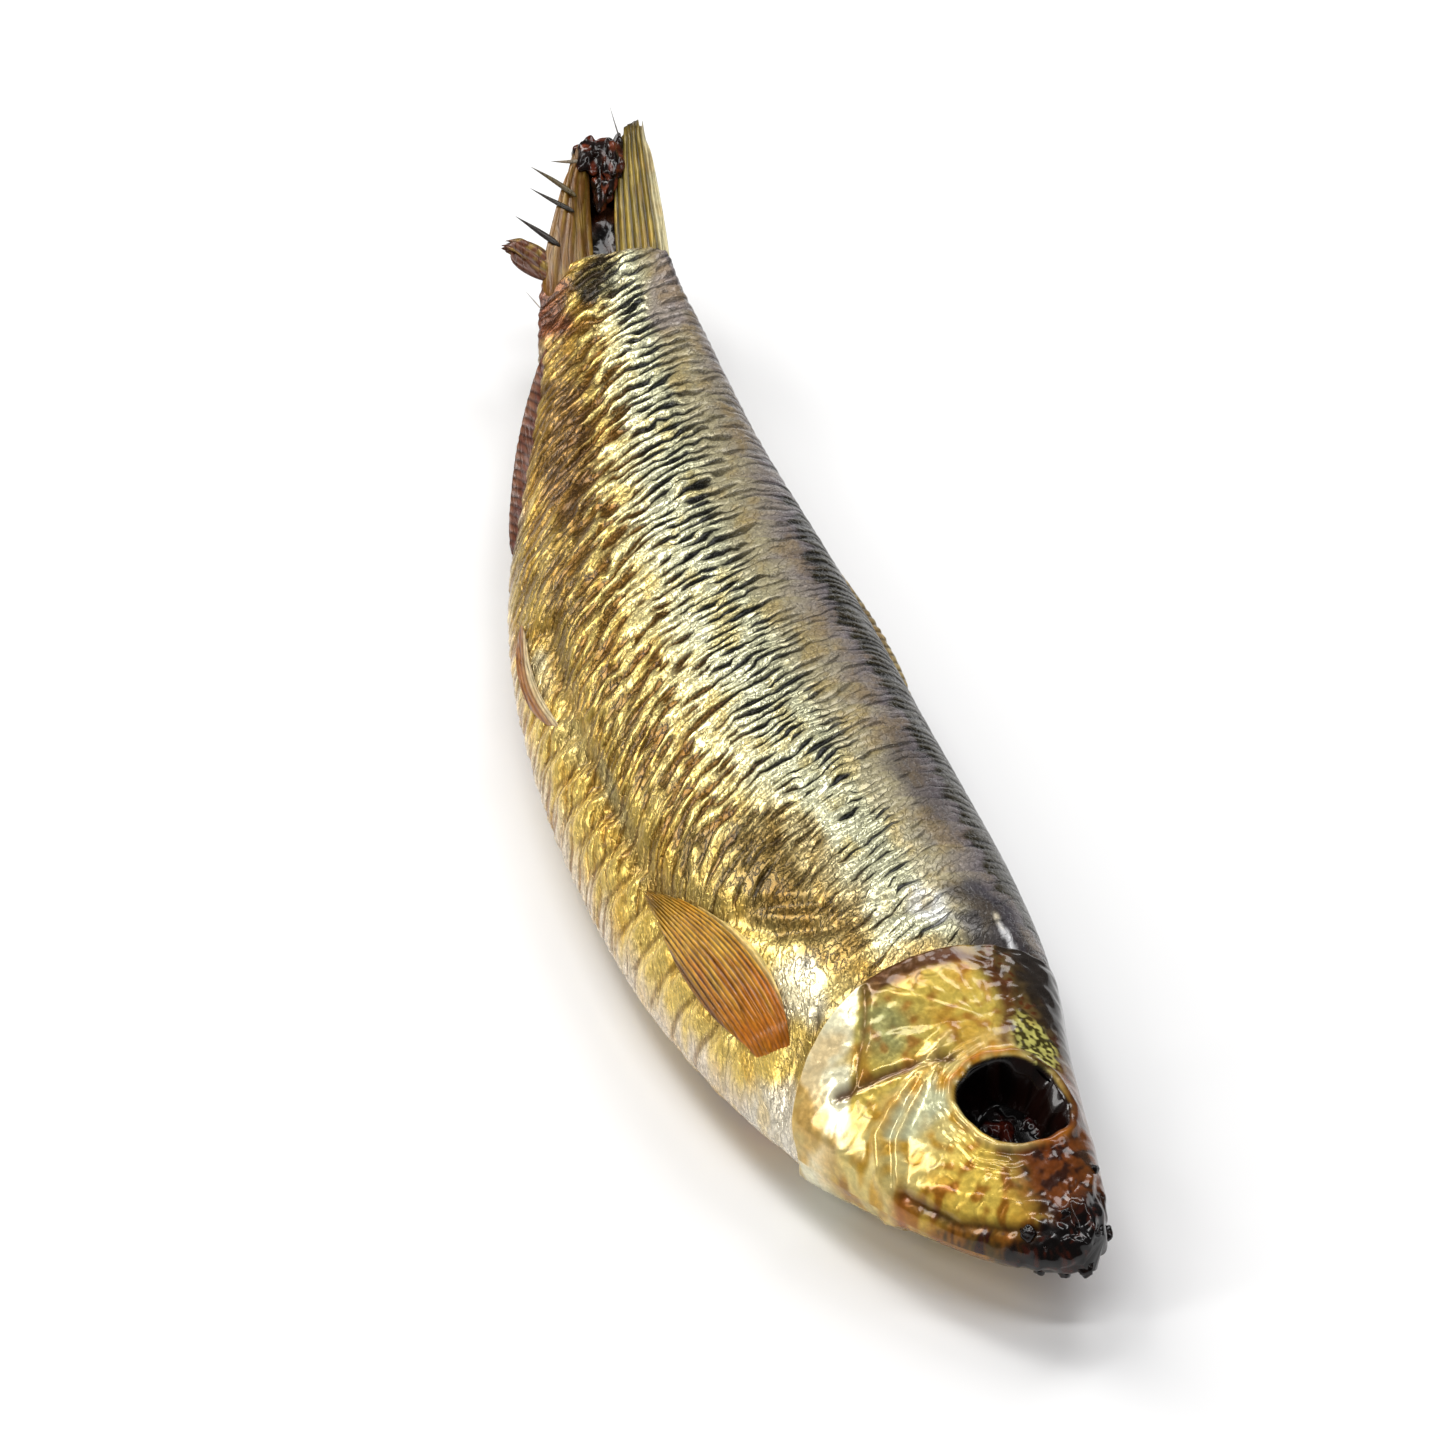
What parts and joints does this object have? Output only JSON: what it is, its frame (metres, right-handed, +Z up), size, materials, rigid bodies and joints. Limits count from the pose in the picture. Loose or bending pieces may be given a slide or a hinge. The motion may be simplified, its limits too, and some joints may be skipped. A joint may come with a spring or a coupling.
{
  "type": "smoked sprat",
  "caption": "Whole small smoked fish lying on its side, slightly bent, with dried fins folded to the body, an empty eye socket and a browned snout",
  "frame": {"origin": "centre of the bounding box, at the surface that the fish lies on", "axes": "+X towards the snout, +Y towards the back, +Z up, out of the flank that is shown"},
  "size_m": [0.102, 0.0238, 0.0123],
  "materials": {
    "smoked_skin": "thin oily gold and silver fish skin, wrinkled, strong small highlights",
    "dried_fin": "dry amber fin membrane with dark rays, satin",
    "burnt_crust": "dark brown to black burnt crust, glossy with oil",
    "eye_hollow": "dark wet lining of the empty eye socket"
  },
  "bodies": {
    "root": {"sprat": "smoked_skin"}
  },
  "joints": []
}
